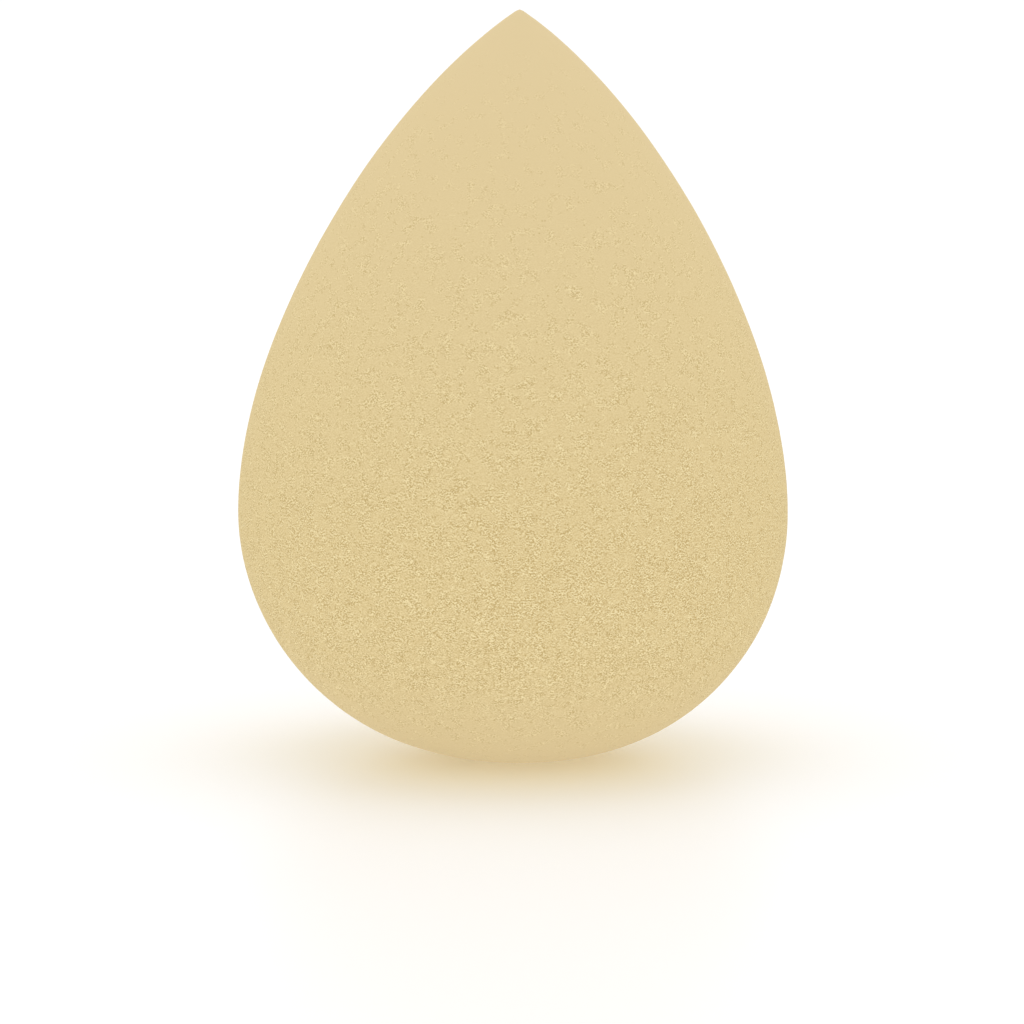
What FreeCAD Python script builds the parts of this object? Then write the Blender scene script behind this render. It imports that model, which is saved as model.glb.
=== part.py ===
import FreeCAD, Part
import os

import Sketcher

# Teardrop makeup sponge, moulded in one piece from fine-celled open foam.
# Millimetres, +Z up from the foot to the tip, origin at the centre of the foot.
# The foam rests on a small flat where its own weight presses the round base down.

# Alias in the sheet, value, and what it measures.
SIZES = [
    ("sponge_height", 60.0, "foot to tip"),
    ("belly_diameter", 44.0, "across the widest level"),
    ("belly_height", 19.7, "foot to the widest level"),
    ("foot_diameter", 9.0, "flat that the base settles on"),
    ("tip_radius", 0.4, "rounding of the pointed end"),
    ("tip_half_angle", 55.4, "degrees between the axis and the side at the tip"),
    ("bowl_side_share", 0.473, "upright handle under the belly, of the belly height"),
    ("bowl_base_share", 0.626, "level handle by the foot, of the ledge from foot to belly"),
    ("bowl_rise_share", 0.075, "lift of that handle, of the belly height"),
    ("flank_side_share", 0.345, "upright handle over the belly, of belly to tip"),
    ("flank_tip_share", 0.328, "slanting handle under the tip, of belly to tip"),
]

# Points of the half outline as (distance from the axis, height).
BELLY_RADIUS = "sizes.belly_diameter / 2"
FOOT_RADIUS = "sizes.foot_diameter / 2"
FLANK_HEIGHT = "(sizes.sponge_height - sizes.belly_height)"
TIP_EDGE = (
    "sizes.tip_radius * cos(sizes.tip_half_angle)",
    "sizes.sponge_height - sizes.tip_radius * (1 - sin(sizes.tip_half_angle))",
)
FLANK_POLES = [
    ("belly", BELLY_RADIUS, "sizes.belly_height"),
    ("flank_side", BELLY_RADIUS, f"sizes.belly_height + sizes.flank_side_share * {FLANK_HEIGHT}"),
    (
        "flank_tip",
        f"{TIP_EDGE[0]} + sizes.flank_tip_share * {FLANK_HEIGHT} * sin(sizes.tip_half_angle)",
        f"{TIP_EDGE[1]} - sizes.flank_tip_share * {FLANK_HEIGHT} * cos(sizes.tip_half_angle)",
    ),
    ("tip_edge", *TIP_EDGE),
]
BOWL_POLES = [
    ("foot_edge", FOOT_RADIUS, "0"),
    (
        "bowl_base",
        f"{FOOT_RADIUS} + sizes.bowl_base_share * ({BELLY_RADIUS} - {FOOT_RADIUS})",
        "sizes.bowl_rise_share * sizes.belly_height",
    ),
    ("bowl_side", BELLY_RADIUS, "sizes.belly_height * (1 - sizes.bowl_side_share)"),
    ("belly_below", BELLY_RADIUS, "sizes.belly_height"),
]
TIP_CENTRE_HEIGHT = "sizes.sponge_height - sizes.tip_radius"

# How a sketch numbers its own origin and upright axis, and the points of a curve.
ORIGIN_INDEX = -1
AXIS_INDEX = -2
START_INDEX = 1
END_INDEX = 2
CENTRE_INDEX = 3


def make_sheet(doc):
    """The driving dimensions, one row each: name, value, meaning."""
    sheet = doc.addObject("Spreadsheet::Sheet", "sizes")
    for row, (alias, value, meaning) in enumerate(SIZES, start=1):
        sheet.set(f"A{row}", alias)
        sheet.set(f"B{row}", str(value))
        sheet.set(f"C{row}", meaning)
        sheet.setAlias(f"B{row}", alias)
    doc.recompute()
    return sheet


def bind(sketch, kind, name, place, expression):
    """A named dimension between the sketch's origin and a point, driven by the sheet."""
    value = float(sketch.evalExpression(expression))
    index = sketch.addConstraint(Sketcher.Constraint(kind, ORIGIN_INDEX, START_INDEX, *place, value))
    sketch.renameConstraint(index, name)
    sketch.setExpression(f"Constraints.{name}", expression)


def add_span(sketch, poles):
    """A cubic span whose four poles stand where the sheet puts them."""
    points = [
        FreeCAD.Vector(float(sketch.evalExpression(across)), float(sketch.evalExpression(up)), 0)
        for _, across, up in poles
    ]
    curve = Part.BSplineCurve()
    degree = len(points) - 1
    curve.buildFromPolesMultsKnots(points, [degree + 1, degree + 1], [0, 1], False, degree)
    span = sketch.addGeometry(curve, False)
    first_pole = sketch.GeometryCount
    sketch.exposeInternalGeometry(span)
    for pole, (name, across, up) in enumerate(poles, start=first_pole):
        bind(sketch, "DistanceX", f"{name}_across", (pole, CENTRE_INDEX), across)
        bind(sketch, "DistanceY", f"{name}_up", (pole, CENTRE_INDEX), up)
    return span


def add_tip_arc(sketch, flank):
    """The rounded point, from the top of the side to the axis."""
    height = float(sketch.evalExpression("sizes.sponge_height"))
    radius = float(sketch.evalExpression("sizes.tip_radius"))
    angle = float(sketch.evalExpression("sizes.tip_half_angle * pi / 180"))
    quarter_turn = float(sketch.evalExpression("pi / 2"))
    centre = FreeCAD.Vector(0, height - radius, 0)
    circle = Part.Circle(centre, FreeCAD.Vector(0, 0, 1), radius)
    arc = sketch.addGeometry(Part.ArcOfCircle(circle, angle, quarter_turn), False)
    sketch.addConstraint(Sketcher.Constraint("Coincident", arc, START_INDEX, flank, END_INDEX))
    sketch.addConstraint(Sketcher.Constraint("PointOnObject", arc, CENTRE_INDEX, AXIS_INDEX))
    sketch.addConstraint(Sketcher.Constraint("PointOnObject", arc, END_INDEX, AXIS_INDEX))
    bind(sketch, "DistanceY", "tip_centre_up", (arc, CENTRE_INDEX), TIP_CENTRE_HEIGHT)
    return arc


def add_line(sketch, start_on, end_on):
    """A straight edge between two places of the sketch, each a curve and one of its ends."""
    start = sketch.getPoint(*start_on)
    end = sketch.getPoint(*end_on)
    line = sketch.addGeometry(Part.LineSegment(start, end), False)
    sketch.addConstraint(Sketcher.Constraint("Coincident", line, START_INDEX, *start_on))
    sketch.addConstraint(Sketcher.Constraint("Coincident", line, END_INDEX, *end_on))
    return line


def make_foam_body(doc):
    """The whole sponge: half its outline, turned once round the axis."""
    body = doc.addObject("PartDesign::Body", "foam_body")
    body.Label = "foam_body"
    planes = {plane.Role: plane for plane in body.Origin.OriginFeatures}
    outline = body.newObject("Sketcher::SketchObject", "half_outline")
    outline.AttachmentSupport = (planes["XZ_Plane"], "")
    outline.MapMode = "FlatFace"
    bowl = add_span(outline, BOWL_POLES)
    flank = add_span(outline, FLANK_POLES)
    tip = add_tip_arc(outline, flank)
    add_line(outline, (ORIGIN_INDEX, START_INDEX), (bowl, START_INDEX))
    add_line(outline, (tip, END_INDEX), (ORIGIN_INDEX, START_INDEX))
    doc.recompute()
    turned = body.newObject("PartDesign::Revolution", "turned_foam")
    turned.Profile = outline
    turned.ReferenceAxis = (outline, ["V_Axis"])
    body.Tip = turned
    return body


def check(doc, nodes):
    """Stops before anything is written if an object failed or a shape is unusable."""
    for thing in doc.Objects:
        if {"Invalid", "Error"} & set(thing.State):
            raise RuntimeError(f"{thing.Label} is {thing.State}")
    for node in nodes:
        if node.Shape.isNull() or not node.Shape.isValid() or len(node.Shape.Solids) != 1:
            raise RuntimeError(f"{node.Label} isn't one valid solid")


def write(nodes):
    """One file for each piece, named by its label."""
    os.makedirs("parts", exist_ok=True)
    for node in nodes:
        node.Shape.exportStep(f"parts/{node.Label}.step")
        box = node.Shape.BoundBox
        centre = node.Shape.Solids[0].CenterOfMass
        print(
            f"{node.Label}: {box.XLength:.2f} x {box.YLength:.2f} x {box.ZLength:.2f} mm,"
            f" {node.Shape.Volume:.0f} mm3, centre of mass {centre.z:.2f} mm up"
        )


def main():
    doc = FreeCAD.newDocument("makeup_sponge")
    make_sheet(doc)
    nodes = [make_foam_body(doc)]
    doc.recompute()
    check(doc, nodes)
    write(nodes)


main()
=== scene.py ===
import math

import bpy
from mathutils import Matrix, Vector


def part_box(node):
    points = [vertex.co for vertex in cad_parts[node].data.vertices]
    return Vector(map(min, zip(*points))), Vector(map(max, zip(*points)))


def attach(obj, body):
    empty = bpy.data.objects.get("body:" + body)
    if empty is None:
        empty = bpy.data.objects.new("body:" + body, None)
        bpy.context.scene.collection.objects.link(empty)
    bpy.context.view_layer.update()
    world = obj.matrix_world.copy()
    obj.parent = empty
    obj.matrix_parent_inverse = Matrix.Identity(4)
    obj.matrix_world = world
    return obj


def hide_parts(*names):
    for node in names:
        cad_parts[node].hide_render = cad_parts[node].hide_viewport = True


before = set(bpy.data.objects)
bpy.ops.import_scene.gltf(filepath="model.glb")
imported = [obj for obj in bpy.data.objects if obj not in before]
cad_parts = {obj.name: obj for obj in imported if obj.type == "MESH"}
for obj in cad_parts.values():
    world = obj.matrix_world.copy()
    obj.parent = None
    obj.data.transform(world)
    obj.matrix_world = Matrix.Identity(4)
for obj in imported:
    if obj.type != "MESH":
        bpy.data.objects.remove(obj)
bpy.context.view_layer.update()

# Foam body
# The whole sponge is one lump of open-cell polyurethane foam, poured into a teardrop mould and
# left bare: no skin, seam or cover. It stands on a small flat, where its own weight settles the
# round end, and its side bows a little to the left, as soft foam does when it leaves the mould.
MM = 0.001
foot_corner, tip_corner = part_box("foam_body")
sponge_height = tip_corner.z - foot_corner.z
belly_radius = (tip_corner.x - foot_corner.x) / 2
belly_height = 0.3283 * sponge_height
flank_height = sponge_height - belly_height
foot_radius = 4.5 * MM
bowl_base_reach = 0.626 * (belly_radius - foot_radius)
bowl_base_rise = 0.075 * belly_height
bowl_side_height = 0.527 * belly_height
flank_side_rise = 0.345 * flank_height
flank_tip_reach = 0.328 * flank_height
tip_rounding = 0.4 * MM
tip_half_angle = math.radians(55.4)
tip_crown_reach = tip_rounding * math.tan((math.pi / 2 - tip_half_angle) / 2)

# Half of the outline, from the middle of the foot to the tip, as two soft spans: the bowl under the
# belly and the flank over it. A span's inner two points are its handles.
tip_edge = Vector((
    tip_rounding * math.cos(tip_half_angle),
    0,
    sponge_height - tip_rounding * (1 - math.sin(tip_half_angle)),
))
tip_slope = Vector((math.sin(tip_half_angle), 0, -math.cos(tip_half_angle)))
outline_points = {
    "Foot Middle": Vector((0, 0, 0)),
    "Foot Edge": Vector((foot_radius, 0, 0)),
    "Bowl Base": Vector((foot_radius + bowl_base_reach, 0, bowl_base_rise)),
    "Bowl Side": Vector((belly_radius, 0, bowl_side_height)),
    "Belly": Vector((belly_radius, 0, belly_height)),
    "Flank Side": Vector((belly_radius, 0, belly_height + flank_side_rise)),
    "Flank Tip": tip_edge + flank_tip_reach * tip_slope,
    "Tip Edge": tip_edge,
    "Tip Crown": Vector((tip_crown_reach, 0, sponge_height)),
    "Tip": Vector((0, 0, sponge_height)),
}
foam_sizes = {
    "Side Bow": 0.53 * MM,
    "Lump Size": 13 * MM,
    "Lump Height": 0.10 * MM,
    "Dimple Size": 1.3 * MM,
    "Dimple Height": 0.012 * MM,
    "Settled Height": 1.6 * MM,
}
foam_grid = 129
foam_seed = 4.0
span_steps = 256
tip_steps = 16
bow_power = 1.5


def add_node(tree, kind, inputs=None, **settings):
    """A node with its settings, its inputs given by name or number as a value or another socket."""
    node = tree.nodes.new(kind)
    for name, value in settings.items():
        setattr(node, name, value)
    for name, value in (inputs or {}).items():
        if isinstance(value, bpy.types.NodeSocket):
            tree.links.new(value, node.inputs[name])
        else:
            node.inputs[name].default_value = value
    return node


def maths(tree, operation, *values):
    return add_node(tree, "ShaderNodeMath", dict(enumerate(values)), operation=operation).outputs[0]


def vector_maths(tree, operation, *values):
    return add_node(tree, "ShaderNodeVectorMath", dict(enumerate(values)), operation=operation).outputs[0]


# Bare foam: struts and hollows too fine to see one by one run together in short strokes, drawn in
# colour as painted highlight on the struts and painted shade in the hollows. Each strut also casts a
# painted shadow on what lies just under it, as if lit from above, and here and there a cell is cut
# open to a pit, painted dark with the hollows' shade. The mould presses the foam smooth towards the
# tip and the foot, where the grain is left only in drifts. There the foam is also painted paler and
# less yellow, and at the foot this is painted light that lifts the shade on the round end where it rests.
smooth_and_painted_light_colour = (0.717, 0.578, 0.337, 1)
open_colour = (0.712, 0.570, 0.312, 1)
hollow_shade_colour = (0.53, 0.39, 0.173, 1)
strut_highlight_colour = (0.89, 0.76, 0.464, 1)
closed_height = 57.5 * MM
open_height = 17.5 * MM
pressed_height = 9.5 * MM
foot_openness = 0.05
drift_size = 0.9 * MM
drift_detail = 2.0
drift_start = 0.53
drift_edge = 0.22
drift_gain = 0.18
between_share = 0.38
grain_power = 0.45
stroke_size = 0.13 * MM
stroke_squeeze = 1.2
stroke_reach = 0.22
painted_strut_shadow = 0.25
painted_shadow_drop = 0.12 * MM
cell_size = 0.22 * MM
pit_share = 0.25
pit_edge = 0.50
pit_floor = 0.15
relief_height = 0.03 * MM
relief_strength = 0.5
foam_roughness = 0.95
foam_gloss = 0.1

foam = bpy.data.materials.new("foam")
foam.use_nodes = True
foam_tree = foam.node_tree
foam_shader = foam_tree.nodes["Principled BSDF"]
place = add_node(foam_tree, "ShaderNodeTexCoord").outputs["Object"]


def ramp(tree, value, start, end, low=0.0, high=1.0, **settings):
    """A value that climbs from low at start to high at end, and stays there."""
    inputs = {"Value": value, "From Min": start, "From Max": end, "To Min": low, "To Max": high}
    return add_node(tree, "ShaderNodeMapRange", inputs, **settings).outputs[0]


def soft_noise(tree, spot, size, detail=0.0):
    """A soft random field about 0.5, with lumps of the given size."""
    inputs = {"Vector": spot, "Scale": 1 / size, "Detail": detail}
    return add_node(tree, "ShaderNodeTexNoise", inputs).outputs[0]


def blend_colours(tree, share, first, second):
    inputs = {0: share, 6: first, 7: second}
    return add_node(tree, "ShaderNodeMix", inputs, data_type="RGBA").outputs[2]


height = add_node(foam_tree, "ShaderNodeSeparateXYZ", {0: place}).outputs["Z"]
from_tip = ramp(foam_tree, height, closed_height, open_height)
from_foot = ramp(foam_tree, height, 0.0, pressed_height, foot_openness)
openness = maths(foam_tree, "MULTIPLY", from_tip, from_foot)
drifts = soft_noise(foam_tree, place, drift_size, drift_detail)
drifts = maths(foam_tree, "MULTIPLY_ADD", openness, drift_gain, drifts)
between = maths(foam_tree, "MULTIPLY", openness, between_share)
drifts = ramp(foam_tree, drifts, drift_start, drift_start + drift_edge, between)
strength = maths(foam_tree, "POWER", openness, grain_power)
grain = maths(foam_tree, "MULTIPLY", drifts, strength)

squeezed = vector_maths(foam_tree, "MULTIPLY", place, (1, 1, stroke_squeeze))
# Painted shadow: the grain is darkened where the grain a little higher up is pale, as if each strut shaded
# the foam under it from light above.
above = vector_maths(foam_tree, "ADD", squeezed, (0, 0, painted_shadow_drop))
strokes = maths(
    foam_tree,
    "MULTIPLY_ADD",
    soft_noise(foam_tree, above, stroke_size),
    -painted_strut_shadow,
    soft_noise(foam_tree, squeezed, stroke_size),
)
stroke_middle = 0.5 * (1 - painted_strut_shadow)
# Pale strokes are painted highlight on the struts; dark strokes are painted shade in the hollows.
strut_and_highlight = ramp(foam_tree, strokes, stroke_middle, stroke_middle + stroke_reach)
strut_and_highlight = maths(foam_tree, "MULTIPLY", strut_and_highlight, grain)
hollow_and_shade = ramp(foam_tree, strokes, stroke_middle, stroke_middle - stroke_reach)
hollow_and_shade = maths(foam_tree, "MULTIPLY", hollow_and_shade, grain)

cells = add_node(foam_tree, "ShaderNodeTexVoronoi", {"Vector": place, "Scale": 1 / cell_size}).outputs
draw = add_node(foam_tree, "ShaderNodeSeparateColor", {0: cells["Color"]}).outputs[0]
is_cut = maths(foam_tree, "LESS_THAN", draw, maths(foam_tree, "MULTIPLY", grain, pit_share))
# Cut pits are painted dark with the same painted shade as the hollows.
pit = ramp(foam_tree, cells["Distance"], pit_edge, pit_floor, interpolation_type="SMOOTHSTEP")
pit = maths(foam_tree, "MULTIPLY", maths(foam_tree, "MULTIPLY", pit, is_cut), strength)
hollow_and_shade = maths(foam_tree, "MAXIMUM", hollow_and_shade, pit)

# Towards the tip and the foot the paler smooth colour is partly painted light, which lifts the shade on
# the round end where it rests.
foam_colour = blend_colours(foam_tree, openness, smooth_and_painted_light_colour, open_colour)
foam_colour = blend_colours(foam_tree, strut_and_highlight, foam_colour, strut_highlight_colour)
foam_colour = blend_colours(foam_tree, hollow_and_shade, foam_colour, hollow_shade_colour)
foam_tree.links.new(foam_colour, foam_shader.inputs["Base Color"])
relief = maths(foam_tree, "SUBTRACT", strut_and_highlight, hollow_and_shade)
relief = add_node(
    foam_tree,
    "ShaderNodeBump",
    {"Height": relief, "Strength": relief_strength, "Distance": relief_height},
).outputs[0]
foam_tree.links.new(relief, foam_shader.inputs["Normal"])
foam_shader.inputs["Roughness"].default_value = foam_roughness
foam_shader.inputs["Specular IOR Level"].default_value = foam_gloss

# The tree that moulds the sponge: an even grid of squares, wrapped round the turned outline, then
# bowed, lumped and dimpled, with the foot left flat.
mould = bpy.data.node_groups.new("teardrop_foam", "GeometryNodeTree")
mould.interface.new_socket("Geometry", in_out="OUTPUT", socket_type="NodeSocketGeometry")
given = add_node(mould, "NodeGroupInput")
identifiers = {}
for name in outline_points:
    socket = mould.interface.new_socket(name, in_out="INPUT", socket_type="NodeSocketVector")
    identifiers[name] = socket.identifier
for name in foam_sizes:
    socket = mould.interface.new_socket(name, in_out="INPUT", socket_type="NodeSocketFloat")
    identifiers[name] = socket.identifier
other_inputs = {"Grid": "NodeSocketInt", "Seed": "NodeSocketFloat", "Foam": "NodeSocketMaterial"}
for name, kind in other_inputs.items():
    socket = mould.interface.new_socket(name, in_out="INPUT", socket_type=kind)
    identifiers[name] = socket.identifier
size = given.outputs

foot_line = add_node(
    mould, "GeometryNodeCurvePrimitiveLine", {"Start": size["Foot Middle"], "End": size["Foot Edge"]}
)
bowl = add_node(
    mould,
    "GeometryNodeCurvePrimitiveBezierSegment",
    {
        "Resolution": span_steps,
        "Start": size["Foot Edge"],
        "Start Handle": size["Bowl Base"],
        "End Handle": size["Bowl Side"],
        "End": size["Belly"],
    },
    mode="POSITION",
)
flank = add_node(
    mould,
    "GeometryNodeCurvePrimitiveBezierSegment",
    {
        "Resolution": span_steps,
        "Start": size["Belly"],
        "Start Handle": size["Flank Side"],
        "End Handle": size["Flank Tip"],
        "End": size["Tip Edge"],
    },
    mode="POSITION",
)
tip_round = add_node(
    mould,
    "GeometryNodeCurveQuadraticBezier",
    {
        "Resolution": tip_steps,
        "Start": size["Tip Edge"],
        "Middle": size["Tip Crown"],
        "End": size["Tip"],
    },
)
outline = add_node(mould, "GeometryNodeJoinGeometry")
for span in (tip_round, flank, bowl, foot_line):
    mould.links.new(span.outputs[0], outline.inputs[0])

squares = add_node(
    mould,
    "GeometryNodeMeshCube",
    {
        "Size": (2, 2, 2),
        "Vertices X": size["Grid"],
        "Vertices Y": size["Grid"],
        "Vertices Z": size["Grid"],
    },
)
corner = add_node(mould, "GeometryNodeInputPosition").outputs[0]
evened = vector_maths(mould, "TANGENT", vector_maths(mould, "MULTIPLY", corner, (math.pi / 4,) * 3))
direction = add_node(mould, "ShaderNodeSeparateXYZ", {0: vector_maths(mould, "NORMALIZE", evened)})
outward = add_node(
    mould, "ShaderNodeCombineXYZ", {"X": direction.outputs["X"], "Y": direction.outputs["Y"]}
)
outward = vector_maths(mould, "NORMALIZE", outward.outputs[0])
polar = maths(mould, "ARCCOSINE", direction.outputs["Z"])
along = maths(mould, "MULTIPLY_ADD", polar, -1 / math.pi, 1.0)
met = add_node(
    mould,
    "GeometryNodeSampleCurve",
    {"Curves": outline.outputs[0], "Factor": along},
    mode="FACTOR",
    use_all_curves=True,
)
met = add_node(mould, "ShaderNodeSeparateXYZ", {0: met.outputs["Position"]})
ring = add_node(mould, "ShaderNodeVectorMath", {0: outward, "Scale": met.outputs["X"]}, operation="SCALE")
level = add_node(mould, "ShaderNodeCombineXYZ", {"Z": met.outputs["Z"]})
turned = add_node(
    mould,
    "GeometryNodeSetPosition",
    {
        "Geometry": squares.outputs["Mesh"],
        "Position": vector_maths(mould, "ADD", ring.outputs[0], level.outputs[0]),
    },
)

spot = add_node(mould, "GeometryNodeInputPosition").outputs[0]
up = add_node(mould, "ShaderNodeSeparateXYZ", {0: spot}).outputs["Z"]
belly_up = add_node(mould, "ShaderNodeSeparateXYZ", {0: size["Belly"]}).outputs["Z"]
tip_up = add_node(mould, "ShaderNodeSeparateXYZ", {0: size["Tip"]}).outputs["Z"]
to_tip = ramp(mould, up, belly_up, tip_up)
to_foot = ramp(mould, up, belly_up, 0.0)
straight = maths(mould, "POWER", maths(mould, "MAXIMUM", to_tip, to_foot), bow_power)
bowed = maths(mould, "MULTIPLY", maths(mould, "SUBTRACT", straight, 1.0), size["Side Bow"])
bow = add_node(mould, "ShaderNodeCombineXYZ", {"X": bowed}).outputs[0]

lift = []
for unevenness, detail in (("Lump", 1.0), ("Dimple", 2.0)):
    wave = add_node(
        mould,
        "ShaderNodeTexNoise",
        {
            "Vector": spot,
            "W": size["Seed"],
            "Scale": maths(mould, "DIVIDE", 1.0, size[f"{unevenness} Size"]),
            "Detail": detail,
        },
        noise_dimensions="4D",
    ).outputs[0]
    swing = maths(mould, "MULTIPLY_ADD", wave, 2.0, -1.0)
    lift.append(maths(mould, "MULTIPLY", swing, size[f"{unevenness} Height"]))
clear_of_floor = ramp(mould, up, 0.0, size["Settled Height"], interpolation_type="SMOOTHSTEP")
lifted = maths(mould, "MULTIPLY", maths(mould, "ADD", *lift), clear_of_floor)
normal = add_node(mould, "GeometryNodeInputNormal").outputs[0]
swell = add_node(mould, "ShaderNodeVectorMath", {0: normal, "Scale": lifted}, operation="SCALE").outputs[0]
moulded = add_node(
    mould,
    "GeometryNodeSetPosition",
    {"Geometry": turned.outputs[0], "Offset": vector_maths(mould, "ADD", swell, bow)},
)
smoothed = add_node(mould, "GeometryNodeSetShadeSmooth", {"Geometry": moulded.outputs[0]})
real = add_node(mould, "GeometryNodeRealizeInstances", {"Geometry": smoothed.outputs[0]})
dressed = add_node(
    mould, "GeometryNodeSetMaterial", {"Geometry": real.outputs[0], "Material": size["Foam"]}
)
add_node(mould, "NodeGroupOutput", {"Geometry": dressed.outputs[0]})

sponge = bpy.data.objects.new("foam_sponge", bpy.data.meshes.new("foam_blank"))
bpy.context.scene.collection.objects.link(sponge)
moulding = sponge.modifiers.new("teardrop_foam", "NODES")
moulding.node_group = mould
for name, value in {**outline_points, **foam_sizes, "Grid": foam_grid, "Seed": foam_seed}.items():
    moulding[identifiers[name]] = value
moulding[identifiers["Foam"]] = foam
bpy.context.view_layer.update()
moulded_sponge = sponge.evaluated_get(bpy.context.evaluated_depsgraph_get())
sponge.data = bpy.data.meshes.new_from_object(moulded_sponge)
sponge.data.name = "foam_sponge"
sponge.modifiers.clear()
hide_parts("foam_body")
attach(sponge, "root")

# Floor
# A white table top with a soft polish, wide enough to meet the white backdrop unseen. Toward the sponge
# part of its white is its own glow, as if lit through from below. This keeps the round end of the foam
# bright where it rests. The camera sees a plain white top with only a faint glow, and the top keeps the
# shadow.
floor_reach = 3.0
floor_white = 0.98
through_light = 0.70
floor_glow = 0.04
table_roughness = 0.42
table_index = 1.9
floor_mesh = bpy.data.meshes.new("floor")
floor_mesh.from_pydata(
    [
        (-floor_reach, -floor_reach, 0),
        (floor_reach, -floor_reach, 0),
        (floor_reach, floor_reach, 0),
        (-floor_reach, floor_reach, 0),
    ],
    [],
    [(0, 1, 2, 3)],
)
floor = bpy.data.objects.new("floor", floor_mesh)
bpy.context.scene.collection.objects.link(floor)
table_top = bpy.data.materials.new("table_top")
table_top.use_nodes = True
table_tree = table_top.node_tree
table_shader = table_tree.nodes["Principled BSDF"]
table_shader.inputs["Roughness"].default_value = table_roughness
table_shader.inputs["IOR"].default_value = table_index
table_ray = add_node(table_tree, "ShaderNodeLightPath").outputs
table_seen = maths(table_tree, "MAXIMUM", table_ray["Is Camera Ray"], table_ray["Is Glossy Ray"])
table_seen = maths(table_tree, "MAXIMUM", table_seen, table_ray["Is Transmission Ray"])
table_unseen = maths(table_tree, "SUBTRACT", 1.0, table_seen)
# Toward the sponge the table glows like a lamp, and its colour is darkened by the same share.
table_white = maths(table_tree, "MULTIPLY_ADD", table_unseen, -through_light, floor_white)
table_tree.links.new(table_white, table_shader.inputs["Base Color"])
table_glow = maths(table_tree, "MULTIPLY_ADD", table_unseen, through_light - floor_glow, floor_glow)
table_tree.links.new(table_glow, table_shader.inputs["Emission Strength"])
floor_mesh.materials.append(table_top)

# Light
# A white room lights the sponge evenly from all round, a little warmer from its walls than from its
# ceiling, and one large soft lamp overhead adds a touch from above.
wall_colour = (1.16, 1.12, 0.77, 1)
ceiling_colour = (0.87, 0.89, 1.08, 1)
backdrop_colour = (1, 1, 1, 1)
lamp_size = 0.5
lamp_power = 0.4
lamp_place = Vector((0, 0.10, 0.60))
scene = bpy.context.scene
scene.world = bpy.data.worlds.new("white_room")
scene.world.use_nodes = True
room_tree = scene.world.node_tree
room = room_tree.nodes["Background"]
heading = add_node(room_tree, "ShaderNodeTexCoord").outputs["Generated"]
heading_up = add_node(room_tree, "ShaderNodeSeparateXYZ", {0: heading}).outputs["Z"]
room_light = blend_colours(room_tree, heading_up, wall_colour, ceiling_colour)
room_ray = add_node(room_tree, "ShaderNodeLightPath").outputs
room_seen = maths(room_tree, "MAXIMUM", room_ray["Is Camera Ray"], room_ray["Is Glossy Ray"])
room_seen = maths(room_tree, "MAXIMUM", room_seen, room_ray["Is Transmission Ray"])
room_colour = blend_colours(room_tree, room_seen, room_light, backdrop_colour)
room_tree.links.new(room_colour, room.inputs["Color"])

lamp_data = bpy.data.lights.new("soft_lamp", "AREA")
lamp_data.shape = "DISK"
lamp_data.size = lamp_size
lamp_data.energy = lamp_power
lamp = bpy.data.objects.new("soft_lamp", lamp_data)
lamp.location = lamp_place
lamp.rotation_mode = "QUATERNION"
lamp_aim = Vector((0, 0, sponge_height / 2)) - lamp_place
lamp.rotation_quaternion = lamp_aim.to_track_quat("-Z", "Y")
scene.collection.objects.link(lamp)

# Camera
# A long lens in front of the sponge, a little above the table, so far off that the square picture is as
# wide as the frame width where it aims.
camera_elevation = math.radians(9)
frame_width = 82.00 * MM
aim = Vector((-0.60 * MM, 0, 19.57 * MM))
lens_length = 360
sensor_width = 36
nearest_seen = 10 * MM
distance = frame_width * lens_length / sensor_width
camera_data = bpy.data.cameras.new("camera")
camera_data.lens = lens_length
camera_data.sensor_width = sensor_width
camera_data.clip_start = nearest_seen
camera = bpy.data.objects.new("camera", camera_data)
backward = Vector((0, -math.cos(camera_elevation), math.sin(camera_elevation)))
camera.location = aim + distance * backward
camera.rotation_mode = "QUATERNION"
camera.rotation_quaternion = (-backward).to_track_quat("-Z", "Y")
scene.collection.objects.link(camera)
scene.camera = camera

scene.view_settings.view_transform = "Standard"
